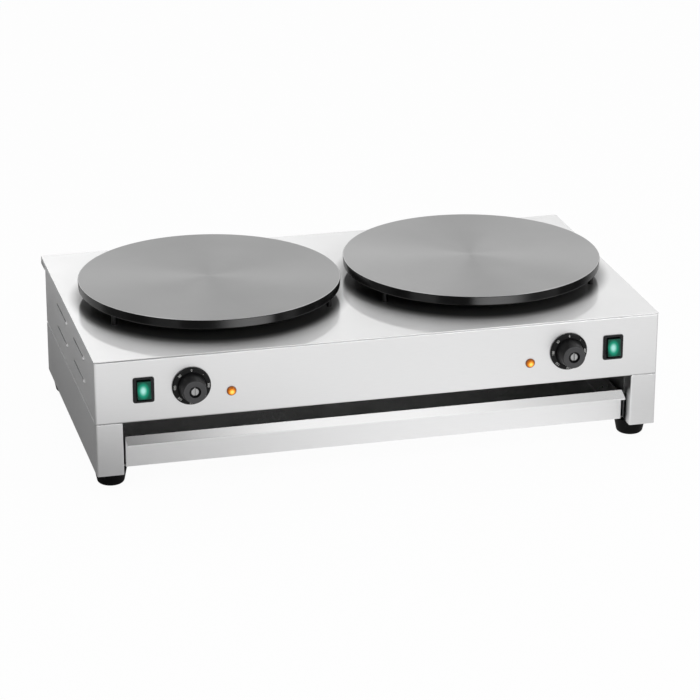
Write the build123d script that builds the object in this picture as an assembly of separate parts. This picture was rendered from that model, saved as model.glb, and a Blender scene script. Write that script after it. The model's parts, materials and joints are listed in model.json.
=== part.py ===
from build123d import *

import math
import os

# Double electric crepe maker: two cast-iron griddle plates on a stainless control housing, which
# stands on two side frames with a utensil drawer between them.
# Millimetres. +X is the operator's right, -Y faces the operator, +Z is up. The origin lies on the
# worktop, in the middle of the footprint of the overall box.

# ---- Driving dimensions -------------------------------------------------------------------------

WIDTH = 859.0  # over the side panels
COVER_DEPTH = 492.0  # top cover, from the front panel to the rear lip
BODY_DEPTH = 456.0  # housing and side frames; the cover overhangs behind them
KNOB_REACH = 29.0  # knob face ahead of the front panel
FOOT_HEIGHT = 25.0
BASE_HEIGHT = 80.5  # side frames and drawer bay
HOUSING_HEIGHT = 98.0  # control housing, up to the top of the cover
PLATE_LIFT = 31.0  # griddle surface above the cover
PAN_LIFT = 5.0  # underside of the heat pans above the cover
PLATE_DIAMETER = 400.0
PLATE_SPACING = 416.5  # between the centres of the two plates

SHEET = 1.2  # stainless sheet of the housing, frames and drawer front
COVER_SHEET = 1.5
TRAY_SHEET = 1.0
BEND = 2.5  # outside radius of a fold
PANEL_RETURN = 15.0  # folded edges of the front panel
FLANGE = 14.0  # folded edges of the other panels
SEAM = 0.3  # gap between two panels that meet edge to edge
COVER_LAP = 0.6  # edge of the cover beyond the side panels
LIP_HEIGHT = 12.0  # turned-down edge of the cover's overhang

LEG_WIDTH = 40.0  # front and rear faces of a side frame
LEG_RETURN = 17.0  # inner fold of a leg
FRAME_GAP = 0.8  # shadow gap between a side frame's walls and the housing

DRAWER_WIDTH = 765.8
DRAWER_SETBACK = 23.0  # drawer face behind the leg faces; its pull lip reaches forward again
DRAWER_LIP_DROP = 29.4  # rear edge of the pull lip below the front panel
PULL_LIP_REACH = 18.3  # front edge of the pull lip ahead of the drawer face
PULL_LIP_FALL = 7.7  # and below the lip's rear edge
PULL_LIP_HEM = 3.0  # turned-down front edge of the pull lip
DRAWER_BOTTOM = 27.5  # lower edge of the drawer face and of the guides
TRAY_DEPTH = 408.0
TRAY_WALL = 40.0
DRAWER_TRAVEL = 300.0
GLIDE_CLEARANCE = 0.4

FOOT_RADIUS = 24.5
FOOT_TAPER = 5.0  # the foot's radius is this much smaller at the bottom
FOOT_ROUNDING = 6.0
FOOT_INSET_X = 26.0  # foot axis from the side
FOOT_INSET_Y = 38.0  # foot axis from the front and from the rear

RIM_HEIGHT = 15.0  # griddle rim
PLATE_THICKNESS = 10.0  # griddle inside its rim
RIM_RING = 24.0  # width of the rim's underside
STUD_CIRCLE = 190.0
STUD_ANGLES = (90.0, 210.0, 330.0)

ELEMENT_PITCH = 22.0  # between neighbouring turns of the heating element
ELEMENT_START = 40.0  # radius of its first half turn
ELEMENT_HALF_TURNS = 6
ELEMENT_WIDTH = 7.0
ELEMENT_HEIGHT = 6.0

CONTROL_HEIGHT = 155.0  # switch and knob centres above the worktop
PILOT_HEIGHT = 141.2
SWITCH_X = 358.4
KNOB_X = 287.9
PILOT_X = 228.3

SKIRT_RADIUS = 28.8
SKIRT_HEIGHT = 4.6  # front of the dial skirt ahead of the panel
KNOB_BASE_RADIUS = 21.0
KNOB_FACE_RADIUS = 17.5
KNOB_RECESS_RADIUS = 8.8
KNOB_RECESS_DEPTH = 4.0
COLLET_RADIUS = 6.0
SHAFT_RADIUS = 3.0
RUNNING_GAP = 0.05  # radial clearance of a shaft in its bush
GRIP_FLUTES = 36
FLUTE_RADIUS = 1.2
FLUTE_DEPTH = 0.4

BEZEL_WIDTH = 31.5
BEZEL_HEIGHT = 39.0
BEZEL_DEPTH = 2.2
BEZEL_CORNER = 3.5
ROCKER_WIDTH = 20.6
ROCKER_BASE_HEIGHT = 30.0  # behind the bezel
ROCKER_FACE_HEIGHT = 27.0
ROCKER_REACH = 6.4  # middle of the rocker's face ahead of the front panel
ROCKER_ROUNDING = 1.8
ROCKER_TILT = 7.0  # each side of the middle
ROCKER_PIVOT = 4.0  # pivot behind the face of the front panel

# ---- Levels and planes that follow from them ----------------------------------------------------

FRONT = (KNOB_REACH - COVER_DEPTH) / 2
COVER_REAR = FRONT + COVER_DEPTH
BODY_REAR = FRONT + BODY_DEPTH
SIDE = WIDTH / 2
BASE_Z = FOOT_HEIGHT
HOUSING_Z = BASE_Z + BASE_HEIGHT
COVER_Z = HOUSING_Z + HOUSING_HEIGHT
COVER_UNDER = COVER_Z - COVER_SHEET
FLOOR_Z = HOUSING_Z + SHEET
PLATE_Z = COVER_Z + PLATE_LIFT
PLATE_X = PLATE_SPACING / 2
PLATE_Y = FRONT + COVER_DEPTH / 2
RIM_Z = PLATE_Z - RIM_HEIGHT
ELEMENT_TOP = PLATE_Z - PLATE_THICKNESS
CLAMP_TOP = ELEMENT_TOP - ELEMENT_HEIGHT
CLAMP_THICKNESS = 3.0
PAN_Z = COVER_Z + PAN_LIFT
PAN_RADIUS = 173.2
INNER_BEND = BEND - SHEET
LEAD_OPENING = 40.0  # radius of the opening for the leads under each plate
ELEMENT_ENDS = ELEMENT_START - ELEMENT_PITCH / 2  # radius of the leads and of the innermost gap
SENSOR_START = 40.0  # degrees along the innermost gap of the element
SENSOR_SWEEP = 100.0
SIDES = (("left", -1), ("right", 1))

# ---- Fasteners ----------------------------------------------------------------------------------

HOLE_CLEARANCE = 0.2  # radial, of a screw or a fitting in its hole
REAR_SCREW_RADIUS = 2.0
REAR_SCREWS = ((SIDE - 8.0, 122.0), (SIDE - 8.0, 180.0))
FRAME_BOLT_RADIUS = 2.5
FRAME_BOLT_X = SIDE - 9.0
FRAME_BOLT_Y = (-170.0, -55.0, 55.0, 170.0)
FOOT_SCREW_RADIUS = 3.0
STUD_FOOT_RADIUS = 3.0

TOWARDS_OPERATOR = (0, -1, 0)
AWAY = (0, 1, 0)
UP = (0, 0, 1)
DOWN = (0, 0, -1)

pieces = {}


# ---- Basic forms --------------------------------------------------------------------------------


def block(x, y, z):
    """A box given by its low and high limits along each axis."""
    limits = (x, y, z)
    size = [high - low for low, high in limits]
    middle = [(high + low) / 2 for low, high in limits]
    return Pos(*middle) * Box(*size)


def rod(radius, start, direction, length):
    """A round bar that runs from a point along a direction."""
    bar = Cylinder(radius, length, align=(Align.CENTER, Align.CENTER, Align.MIN))
    return Plane(origin=start, z_dir=direction) * bar


def hexagon_nut(across_flats, height, bore, start, direction):
    """A hexagon nut with a plain bore, seated on a point."""
    outline = RegularPolygon(across_flats / 2, 6, major_radius=False) - Circle(bore)
    return Plane(origin=start, z_dir=direction) * extrude(outline, amount=height)


def turned(*points):
    """A solid of revolution about Z through (radius, height) points."""
    return revolve(make_face(Plane.XZ * Polyline(*points, close=True)), Axis.Z)


def dome(radius, rise):
    """A spherical cap that stands on the XY plane."""
    sphere = (radius**2 + rise**2) / (2 * rise)
    cap = Pos(0, 0, rise - sphere) * Sphere(sphere)
    return cap & block((-radius, radius), (-radius, radius), (0, rise))


def slot_cutter(plane, length, width, depth):
    """A tool for a round-ended slot, centred on a plane and cut both ways."""
    return extrude(plane * SlotOverall(length, width), amount=depth, both=True)


def folded(corners, side, plane, length, bend=BEND):
    """Sheet folded along a line of corners, which follows its outside, and extruded from a plane."""
    outside = FilletPolyline(*corners, radius=bend)
    strip = outside.offset_2d(SHEET, side=side)
    return extrude(plane * make_face(strip), amount=length)


def across(y_start):
    """The XZ plane at one depth; an extrusion from it runs towards the operator."""
    return Plane(origin=(0, y_start, 0), x_dir=(1, 0, 0), z_dir=TOWARDS_OPERATOR)


def on_panel(x, z):
    """A plane on the front panel whose normal points at the operator."""
    return Plane(origin=(x, FRONT, z), x_dir=(1, 0, 0), z_dir=TOWARDS_OPERATOR)


def mirrored(shape):
    """The same piece for the other side of the machine."""
    return mirror(shape, about=Plane.YZ)


def add_pair(name, left):
    """Registers a handed piece and its mirror image."""
    pieces["left_" + name] = left
    pieces["right_" + name] = mirrored(left)


# ---- Housing ------------------------------------------------------------------------------------

CONTROL_HOLE = 5.2  # radius, for a thermostat's bush or a pilot lamp
SWITCH_HOLE = (27.4, 34.4)
SWITCH_BODY = (27.0, 34.0, 22.0)


def front_panel():
    """Face with all four edges folded back, pierced for the controls."""
    outer = block((-SIDE, SIDE), (FRONT, FRONT + PANEL_RETURN), (HOUSING_Z, COVER_UNDER))
    outer = fillet(outer.faces().sort_by(Axis.Y)[0].edges(), BEND)
    inner = block(
        (-SIDE + SHEET, SIDE - SHEET),
        (FRONT + SHEET, FRONT + PANEL_RETURN + 1),
        (HOUSING_Z + SHEET, COVER_UNDER - SHEET),
    )
    inner = fillet(inner.faces().sort_by(Axis.Y)[0].edges(), INNER_BEND)
    panel = outer - inner
    for _, hand in SIDES:
        behind = on_panel(hand * SWITCH_X, CONTROL_HEIGHT)
        panel -= extrude(behind * Rectangle(*SWITCH_HOLE), amount=SHEET * 2, both=True)
        for x, z in ((hand * KNOB_X, CONTROL_HEIGHT), (hand * PILOT_X, PILOT_HEIGHT)):
            panel -= rod(CONTROL_HOLE, (x, FRONT - 1, z), AWAY, SHEET + 2)
    return panel


LOUVRE_LENGTH = 84.0
LOUVRE_OPENING = 3.0
LOUVRE_HOOD = 5.0
LOUVRE_Y = (-88.0, 66.0)
LOUVRE_DROP = (28.0, 64.0)  # below the top of the cover
DIMPLE_RADIUS = 3.6
DIMPLE_RISE = 1.6
DIMPLE_AHEAD = 8.0  # pressed dimple in front of each louvre


def louvre_hood(y, z):
    """Quarter-round hood behind a louvre, open downwards, on the inside of the left wall."""
    wall = -SIDE + SHEET
    length = LOUVRE_LENGTH
    start = (wall, y - length / 2, z - LOUVRE_OPENING / 2)
    tube = rod(LOUVRE_HOOD, start, AWAY, length) - rod(LOUVRE_HOOD - SHEET, start, AWAY, length)
    quarter = block(
        (wall, wall + LOUVRE_HOOD),
        (y - length / 2, y + length / 2),
        (start[2], start[2] + LOUVRE_HOOD),
    )
    return tube & quarter


def side_panel():
    """Left wall of the housing: top, bottom and rear edges folded in, four louvres."""
    front, rear = FRONT + PANEL_RETURN + SEAM, BODY_REAR - SHEET
    outer = block((-SIDE, -SIDE + FLANGE), (front, rear), (HOUSING_Z, COVER_UNDER))
    face = outer.faces().sort_by(Axis.X)[0]
    outer = fillet(face.edges().sort_by(Axis.Y)[1:], BEND)
    inner = block(
        (-SIDE + SHEET, -SIDE + FLANGE + 1),
        (front - 1, rear - SHEET),
        (HOUSING_Z + SHEET, COVER_UNDER - SHEET),
    )
    face = inner.faces().sort_by(Axis.X)[0]
    inner = fillet(face.edges().sort_by(Axis.Y)[1:], INNER_BEND)
    panel = outer - inner
    for y in LOUVRE_Y:
        for drop in LOUVRE_DROP:
            z = COVER_Z - drop
            wall = Plane(origin=(-SIDE, y, z), x_dir=AWAY, z_dir=(-1, 0, 0))
            panel -= slot_cutter(wall, LOUVRE_LENGTH, LOUVRE_OPENING, 2 * SHEET)
            panel += louvre_hood(y, z)
            ahead = Pos(-LOUVRE_LENGTH / 2 - DIMPLE_AHEAD, 0, 0)
            panel += wall * ahead * dome(DIMPLE_RADIUS, DIMPLE_RISE)
    for x, z in REAR_SCREWS:
        start = (-x, rear + 1, z)
        panel -= rod(REAR_SCREW_RADIUS + HOLE_CLEARANCE, start, TOWARDS_OPERATOR, SHEET + 2)
    for y in FRAME_BOLT_Y:
        start = (-FRAME_BOLT_X, y, HOUSING_Z - 1)
        panel -= rod(FRAME_BOLT_RADIUS + HOLE_CLEARANCE, start, UP, SHEET + 2)
    return panel


REAR_PLATE_HALF_WIDTH = SIDE - 1.5
REAR_CHANNEL_HALF_WIDTH = SIDE - 15.2
GLAND_X = 330.0
GLAND_Z = 132.0
GLAND_THREAD = 10.0  # radius of the M20 thread
CORD_BORE = 5.0
REAR_VENT_X = (-190.0, 190.0)
REAR_VENT_SLOTS = 7
REAR_VENT_PITCH = 14.0
REAR_VENT_SLOT = (46.0, 5.0)
NUT_RELIEF = 8.0  # notch in the top flange round a plate stud's nut


def rear_panel():
    """Back of the housing, with folded top and bottom edges, air slots and the cord entry."""
    channel = folded(
        (
            (BODY_REAR - FLANGE, HOUSING_Z),
            (BODY_REAR, HOUSING_Z),
            (BODY_REAR, COVER_UNDER),
            (BODY_REAR - FLANGE, COVER_UNDER),
        ),
        Side.LEFT,
        Plane.YZ.offset(-REAR_CHANNEL_HALF_WIDTH),
        2 * REAR_CHANNEL_HALF_WIDTH,
    )
    face = block(
        (-REAR_PLATE_HALF_WIDTH, REAR_PLATE_HALF_WIDTH),
        (BODY_REAR - SHEET, BODY_REAR),
        (HOUSING_Z + BEND, COVER_UNDER - BEND),
    )
    panel = channel + face
    middle_z = (HOUSING_Z + COVER_UNDER) / 2
    for group_x in REAR_VENT_X:
        for index in range(REAR_VENT_SLOTS):
            x = group_x + (index - (REAR_VENT_SLOTS - 1) / 2) * REAR_VENT_PITCH
            wall = Plane(origin=(x, BODY_REAR, middle_z), x_dir=UP, z_dir=AWAY)
            panel -= slot_cutter(wall, *REAR_VENT_SLOT, 2 * SHEET)
    holes = [(GLAND_X, GLAND_Z, GLAND_THREAD)]
    holes += [(hand * x, z, REAR_SCREW_RADIUS) for _, hand in SIDES for x, z in REAR_SCREWS]
    for x, z, radius in holes:
        start = (x, BODY_REAR + 1, z)
        panel -= rod(radius + HOLE_CLEARANCE, start, TOWARDS_OPERATOR, SHEET + 2)
    for _, hand in SIDES:
        rear_stud = max(stud_places(hand), key=lambda place: place[1])
        panel -= rod(NUT_RELIEF, (*rear_stud, COVER_UNDER - SHEET - 1), UP, SHEET + 1)
    return panel


FLOOR_MARGIN = 0.5  # floor sheet inside the bends of the panels round it
FLOOR_VENT_X = 300.0
FLOOR_VENT_SLOTS = 6
FLOOR_VENT_PITCH = 22.0
FLOOR_VENT_SLOT = (60.0, 6.0)


def housing_floor():
    """Bottom sheet of the housing, which is the roof of the drawer bay, with air slots."""
    margin = BEND + FLOOR_MARGIN
    floor = block(
        (-SIDE + margin, SIDE - margin),
        (FRONT + margin, BODY_REAR - margin),
        (FLOOR_Z, FLOOR_Z + SHEET),
    )
    for _, hand in SIDES:
        for index in range(FLOOR_VENT_SLOTS):
            y = PLATE_Y + (index - (FLOOR_VENT_SLOTS - 1) / 2) * FLOOR_VENT_PITCH
            level = Plane(origin=(hand * FLOOR_VENT_X, y, FLOOR_Z))
            floor -= slot_cutter(level, *FLOOR_VENT_SLOT, 2 * SHEET)
        for y in FRAME_BOLT_Y:
            start = (hand * FRAME_BOLT_X, y, FLOOR_Z - 1)
            floor -= rod(FRAME_BOLT_RADIUS + HOLE_CLEARANCE, start, UP, SHEET + 2)
    return floor


COLLAR_HEIGHT = 3.0


def stud_places(hand):
    """Axes of the three studs that carry one plate."""
    for angle in STUD_ANGLES:
        turn = math.radians(angle)
        x = hand * PLATE_X + STUD_CIRCLE * math.cos(turn)
        yield x, PLATE_Y + STUD_CIRCLE * math.sin(turn)


def top_cover():
    """Flat cover with a raised collar under each plate and a turned-down lip round the overhang."""
    half = SIDE + COVER_LAP
    cover = block((-half, half), (FRONT, COVER_REAR), (COVER_UNDER, COVER_Z))
    cover += block((-half, half), (BODY_REAR + SEAM, COVER_REAR), (COVER_Z - LIP_HEIGHT, COVER_Z))
    cover = fillet(cover.edges().filter_by(Axis.Z).group_by(Axis.Y)[-1], BEND)
    cover = fillet(cover.faces().sort_by(Axis.Z)[-1].edges(), COVER_SHEET * 0.2)
    cover -= block(
        (-half + SHEET, half - SHEET),
        (BODY_REAR, COVER_REAR - SHEET),
        (COVER_Z - LIP_HEIGHT - 1, COVER_UNDER),
    )
    for _, hand in SIDES:
        centre = Pos(hand * PLATE_X, PLATE_Y, 0)
        wall = LEAD_OPENING + COVER_SHEET
        cover += centre * turned(
            (LEAD_OPENING - 1, COVER_UNDER),
            (wall, COVER_UNDER),
            (wall, COVER_Z + COLLAR_HEIGHT),
            (LEAD_OPENING - 1, COVER_Z + COLLAR_HEIGHT),
        )
        opening = (hand * PLATE_X, PLATE_Y, COVER_UNDER - 1)
        cover -= rod(LEAD_OPENING, opening, UP, COVER_SHEET + COLLAR_HEIGHT + 2)
        for x, y in stud_places(hand):
            start = (x, y, COVER_UNDER - 1)
            cover -= rod(STUD_FOOT_RADIUS + HOLE_CLEARANCE, start, UP, COVER_SHEET + 2)
    return cover


# ---- Side frames, guides and feet ---------------------------------------------------------------


def foot_places():
    """Name and axis of each foot."""
    for side, hand in SIDES:
        x = hand * (SIDE - FOOT_INSET_X)
        yield "front_" + side, x, FRONT + FOOT_INSET_Y
        yield "rear_" + side, x, BODY_REAR - FOOT_INSET_Y


FOOT_BORE = FOOT_SCREW_RADIUS + 0.3
FOOT_RECESS_RADIUS = 8.5  # counterbore for the screw's head
FOOT_RECESS_DEPTH = 11.0


def base_frame():
    """Left side wall folded round into a front and a rear leg, with bolting flanges inside."""
    inner = -SIDE + LEG_WIDTH
    frame = folded(
        (
            (inner, FRONT + LEG_RETURN),
            (inner, FRONT),
            (-SIDE, FRONT),
            (-SIDE, BODY_REAR),
            (inner, BODY_REAR),
            (inner, BODY_REAR - LEG_RETURN),
        ),
        Side.RIGHT,
        Plane.XY.offset(BASE_Z),
        BASE_HEIGHT - FRAME_GAP,
    )
    for low in (BASE_Z, HOUSING_Z - SHEET):
        frame += block(
            (-SIDE + SHEET, inner - SHEET),
            (FRONT + SHEET, BODY_REAR - SHEET),
            (low, low + SHEET),
        )
    for y in FRAME_BOLT_Y:
        start = (-FRAME_BOLT_X, y, HOUSING_Z - SHEET - 1)
        frame -= rod(FRAME_BOLT_RADIUS + HOLE_CLEARANCE, start, UP, SHEET + 2)
    for _, x, y in foot_places():
        if x < 0:
            frame -= rod(FOOT_BORE, (x, y, BASE_Z - 1), UP, SHEET + 2)
    return frame


def foot():
    """Rubber foot: tapered, rounded below, counterbored for its screw."""
    body = turned(
        (FOOT_BORE, FOOT_RECESS_DEPTH),
        (FOOT_BORE, FOOT_HEIGHT),
        (FOOT_RADIUS, FOOT_HEIGHT),
        (FOOT_RADIUS - FOOT_TAPER, 0.0),
        (FOOT_RECESS_RADIUS, 0.0),
        (FOOT_RECESS_RADIUS, FOOT_RECESS_DEPTH),
    )
    lowest = body.edges().filter_by(GeomType.CIRCLE).group_by(Axis.Z)[0].sort_by(SortBy.RADIUS)[-1]
    return fillet(lowest, FOOT_ROUNDING)


GUIDE_WEB = SIDE - LEG_WIDTH  # outer face of a guide, in line with the legs' inner faces
GUIDE_FRONT = FRONT + 28.0
GUIDE_REAR = BODY_REAR - 19.0
LEDGE_WIDTH = 19.0


def drawer_guide():
    """Left wall of the drawer bay: bolting flange above, running ledge below."""
    return folded(
        (
            (-GUIDE_WEB + PANEL_RETURN, FLOOR_Z),
            (-GUIDE_WEB, FLOOR_Z),
            (-GUIDE_WEB, DRAWER_BOTTOM),
            (-GUIDE_WEB + LEDGE_WIDTH, DRAWER_BOTTOM),
        ),
        Side.LEFT,
        across(GUIDE_REAR),
        GUIDE_REAR - GUIDE_FRONT,
    )


def rear_base_panel():
    """Closes the back of the drawer bay between the rear legs."""
    rear = BODY_REAR - 2.0
    return folded(
        ((rear, DRAWER_BOTTOM), (rear, HOUSING_Z), (rear - FLANGE, HOUSING_Z)),
        Side.LEFT,
        Plane.YZ.offset(-GUIDE_WEB),
        2 * GUIDE_WEB,
    )


# ---- Drawer -------------------------------------------------------------------------------------

FACE_Y = FRONT + DRAWER_SETBACK
TRAY_FRONT = FACE_Y + SHEET
TRAY_REAR = TRAY_FRONT + TRAY_DEPTH
TRAY_Z = DRAWER_BOTTOM + SHEET + 0.3
TRAY_CORNER = 3.0
GLIDE_FRONT = TRAY_REAR - 19.0
GLIDE_THICKNESS = 9.2
GLIDE_LENGTH = 15.0
STOP_THICKNESS = 11.0
STOP_LENGTH = 10.0
STOP_HEIGHT = 15.0
SIDE_FIT = 0.2  # between the tray's walls and the pieces beside them


def drawer_tray():
    """Open tray that carries the utensils."""
    half = DRAWER_WIDTH / 2 - SIDE_FIT
    tray = block((-half, half), (TRAY_FRONT, TRAY_REAR), (TRAY_Z, TRAY_Z + TRAY_WALL))
    edges = tray.edges().filter_by(Axis.Z) + tray.faces().sort_by(Axis.Z)[0].edges()
    tray = fillet(edges, TRAY_CORNER)
    inside = block(
        (-half + TRAY_SHEET, half - TRAY_SHEET),
        (TRAY_FRONT + TRAY_SHEET, TRAY_REAR - TRAY_SHEET),
        (TRAY_Z + TRAY_SHEET, TRAY_Z + TRAY_WALL + TRAY_CORNER),
    )
    edges = inside.edges().filter_by(Axis.Z) + inside.faces().sort_by(Axis.Z)[0].edges()
    return tray - fillet(edges, TRAY_CORNER - TRAY_SHEET)


def drawer_front():
    """Drawer face whose top edge is folded forwards into a sloping pull lip with a short hem."""
    lip_top = HOUSING_Z - DRAWER_LIP_DROP
    lip_front = FACE_Y - PULL_LIP_REACH
    return folded(
        (
            (lip_front, lip_top - PULL_LIP_FALL - PULL_LIP_HEM),
            (lip_front, lip_top - PULL_LIP_FALL),
            (TRAY_FRONT, lip_top),
            (TRAY_FRONT, DRAWER_BOTTOM),
        ),
        Side.RIGHT,
        Plane.YZ.offset(-DRAWER_WIDTH / 2),
        DRAWER_WIDTH,
        bend=2.0,
    )


def drawer_glide():
    """Nylon block in a rear corner of the tray; it runs under the guide's flange."""
    outer = -DRAWER_WIDTH / 2 + SIDE_FIT + TRAY_SHEET
    return block(
        (outer, outer + GLIDE_THICKNESS),
        (GLIDE_FRONT, GLIDE_FRONT + GLIDE_LENGTH),
        (TRAY_Z + TRAY_CORNER + 1.0, HOUSING_Z - GLIDE_CLEARANCE),
    )


def drawer_stop():
    """Block under the guide's flange that the glide meets when the drawer is out."""
    rear = GLIDE_FRONT - DRAWER_TRAVEL - GLIDE_CLEARANCE
    outer = -GUIDE_WEB + BEND + SIDE_FIT
    return block(
        (outer, outer + STOP_THICKNESS),
        (rear - STOP_LENGTH, rear),
        (HOUSING_Z - STOP_HEIGHT, HOUSING_Z),
    )


# ---- Griddle plates and what hangs under them ---------------------------------------------------

STUD_RADIUS = 4.0
STUD_TAIL = 15.0  # threaded foot of a stud below the top of the cover
STUD_SOCKET_DEPTH = 7.0
BOSS_RADIUS = 11.0
BOLT_RADIUS = 4.0
LEAD_RADIUS = 2.5
LEAD_HOLE = 5.0
LEAD_HOLES = ((ELEMENT_ENDS, 0.0, LEAD_HOLE), (-ELEMENT_ENDS, 0.0, LEAD_HOLE))
CLAMP_HUB = 20.0
CLAMP_ARM_WIDTH = 18.0


def at_plate(hand):
    """The axis of one plate."""
    return Pos(hand * PLATE_X, PLATE_Y, 0)


def griddle_plate(hand):
    """Cast plate: machined face, rim, recess for the element, clamp boss and stud sockets."""
    radius = PLATE_DIAMETER / 2
    recess = radius - RIM_RING
    plate = turned(
        (0, PLATE_Z),
        (radius - 1.0, PLATE_Z),
        (radius, PLATE_Z - 1.0),
        (radius - 0.6, RIM_Z + 2.0),
        (radius - 2.6, RIM_Z),
        (recess, RIM_Z),
        (recess + 1.0, ELEMENT_TOP),
        (0, ELEMENT_TOP),
    )
    plate += rod(BOSS_RADIUS, (0, 0, CLAMP_TOP + 0.5), UP, ELEMENT_HEIGHT)
    plate -= rod(BOLT_RADIUS + RUNNING_GAP, (0, 0, CLAMP_TOP), UP, ELEMENT_HEIGHT + 4.0)
    plate = at_plate(hand) * plate
    for x, y in stud_places(hand):
        plate -= rod(STUD_RADIUS + RUNNING_GAP, (x, y, RIM_Z - 1), UP, STUD_SOCKET_DEPTH + 1)
    return plate


def plate_stud(x, y):
    """Shouldered stud between the cover and the plate's rim."""
    stud = turned(
        (0, COVER_Z - STUD_TAIL),
        (STUD_FOOT_RADIUS, COVER_Z - STUD_TAIL),
        (STUD_FOOT_RADIUS, COVER_Z),
        (STUD_RADIUS, COVER_Z),
        (STUD_RADIUS, RIM_Z + STUD_SOCKET_DEPTH),
        (0, RIM_Z + STUD_SOCKET_DEPTH),
    )
    return Pos(x, y, 0) * stud


def half_turn(radius, centre_x, upper):
    """Half a turn of the flattened element tube, about a centre on the plate's X axis."""
    outer = radius + ELEMENT_WIDTH / 2
    ring = Circle(outer) - Circle(radius - ELEMENT_WIDTH / 2)
    keep = Pos(0, outer / 2 if upper else -outer / 2) * Rectangle(2 * outer, outer)
    return extrude(Pos(centre_x, 0, CLAMP_TOP) * (ring & keep), amount=ELEMENT_HEIGHT)


def element_arm():
    """One arm of the double spiral: half turns about two centres, each a pitch wider."""
    return [
        half_turn(
            ELEMENT_START + index * ELEMENT_PITCH,
            -ELEMENT_PITCH / 2 if index % 2 == 0 else ELEMENT_PITCH / 2,
            index % 2 == 0,
        )
        for index in range(ELEMENT_HALF_TURNS)
    ]


def heating_element(hand):
    """Double spiral: two arms from the centre, joined by a tight return bend outside."""
    first = element_arm()
    second = [Rot(0, 0, 180) * turn for turn in element_arm()[:-1]]
    outer_end = ELEMENT_START + (ELEMENT_HALF_TURNS - 0.5) * ELEMENT_PITCH
    return_bend = half_turn(ELEMENT_PITCH / 2, outer_end - ELEMENT_PITCH / 2, True)
    element = first[0].fuse(*first[1:], *second, return_bend)
    for x, _, _ in LEAD_HOLES:
        element += rod(LEAD_RADIUS, (x, 0, COVER_Z - 8.0), UP, CLAMP_TOP - COVER_Z + 9.0)
    return at_plate(hand) * element


def element_clamp(hand):
    """Three-armed spring-steel spider that presses the element against the plate."""
    low = CLAMP_TOP - CLAMP_THICKNESS
    spider = rod(CLAMP_HUB, (0, 0, low), UP, CLAMP_THICKNESS)
    half = CLAMP_ARM_WIDTH / 2
    arm = block((0, PAN_RADIUS - 8.0), (-half, half), (low, CLAMP_TOP))
    for angle in STUD_ANGLES:
        spider += Rot(0, 0, angle) * arm
    spider -= rod(BOLT_RADIUS + HOLE_CLEARANCE, (0, 0, PAN_Z), UP, CLAMP_TOP)
    return at_plate(hand) * spider


def sensor_drop():
    """Where the capillary leaves the underside of the plate, from the plate's axis."""
    turn = math.radians(SENSOR_START)
    return (
        -ELEMENT_PITCH / 2 + ELEMENT_ENDS * math.cos(turn),
        ELEMENT_ENDS * math.sin(turn),
    )


def pierced_for_leads(disc):
    """Holes for the element's two ends, the capillary and the clamp bolt."""
    low = PAN_Z - 1
    height = CLAMP_TOP - PAN_Z
    sensor_hole = (*sensor_drop(), 3.0)
    for x, y, radius in (*LEAD_HOLES, sensor_hole, (0, 0, BOLT_RADIUS + HOLE_CLEARANCE)):
        disc -= rod(radius, (x, y, low), UP, height)
    return disc


def insulation(hand):
    """Ceramic-fibre disc between the clamp and the pan."""
    low, high = PAN_Z + SHEET, CLAMP_TOP - CLAMP_THICKNESS
    disc = rod(PAN_RADIUS - 6.0, (0, 0, low), UP, high - low)
    return at_plate(hand) * pierced_for_leads(disc)


def heat_pan(hand):
    """Shallow pan that closes the underside, flanged against the rim."""
    pan = turned(
        (0, PAN_Z),
        (PAN_RADIUS - 4.0, PAN_Z),
        (PAN_RADIUS, PAN_Z + 4.0),
        (PAN_RADIUS, RIM_Z - SHEET),
        (PAN_RADIUS + 8.0, RIM_Z - SHEET),
        (PAN_RADIUS + 8.0, RIM_Z),
        (PAN_RADIUS - SHEET, RIM_Z),
        (PAN_RADIUS - SHEET, PAN_Z + 4.5),
        (PAN_RADIUS - 4.5, PAN_Z + SHEET),
        (0, PAN_Z + SHEET),
    )
    return at_plate(hand) * pierced_for_leads(pan)


def clamp_bolt(hand):
    """Hexagon bolt that draws pan, insulation and clamp against the plate."""
    head = hexagon_nut(13.0, 5.0, BOLT_RADIUS / 2, (0, 0, PAN_Z), DOWN)
    bolt = head + rod(BOLT_RADIUS, (0, 0, PAN_Z - 5.0), UP, CLAMP_TOP + 3.0 - PAN_Z + 5.0)
    return at_plate(hand) * bolt


# ---- Temperature control ------------------------------------------------------------------------

BUSH_RADIUS = 5.0
BUSH_REACH = 6.0  # threaded bush ahead of the panel
THERMOSTAT_SETBACK = 8.0  # body behind the panel's face
THERMOSTAT_BODY = (34.0, 26.0, 38.0)
SHAFT_TAIL = 13.0  # inner end of the shaft behind the panel's face
SHAFT_REACH = 21.0  # outer end ahead of it
SHAFT_FLAT = 1.8  # flat for the knob, from the shaft's axis
KNOB_HOLLOW = (11.0, 10.0)  # radius and depth of the hollow over the thermostat's nut
BODY_ROUNDING = 3.0
TAB_WIDTH = 6.3
TAB_THICKNESS = 0.8
CAPILLARY_RADIUS = 1.0
BULB_RADIUS = 2.4


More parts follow.
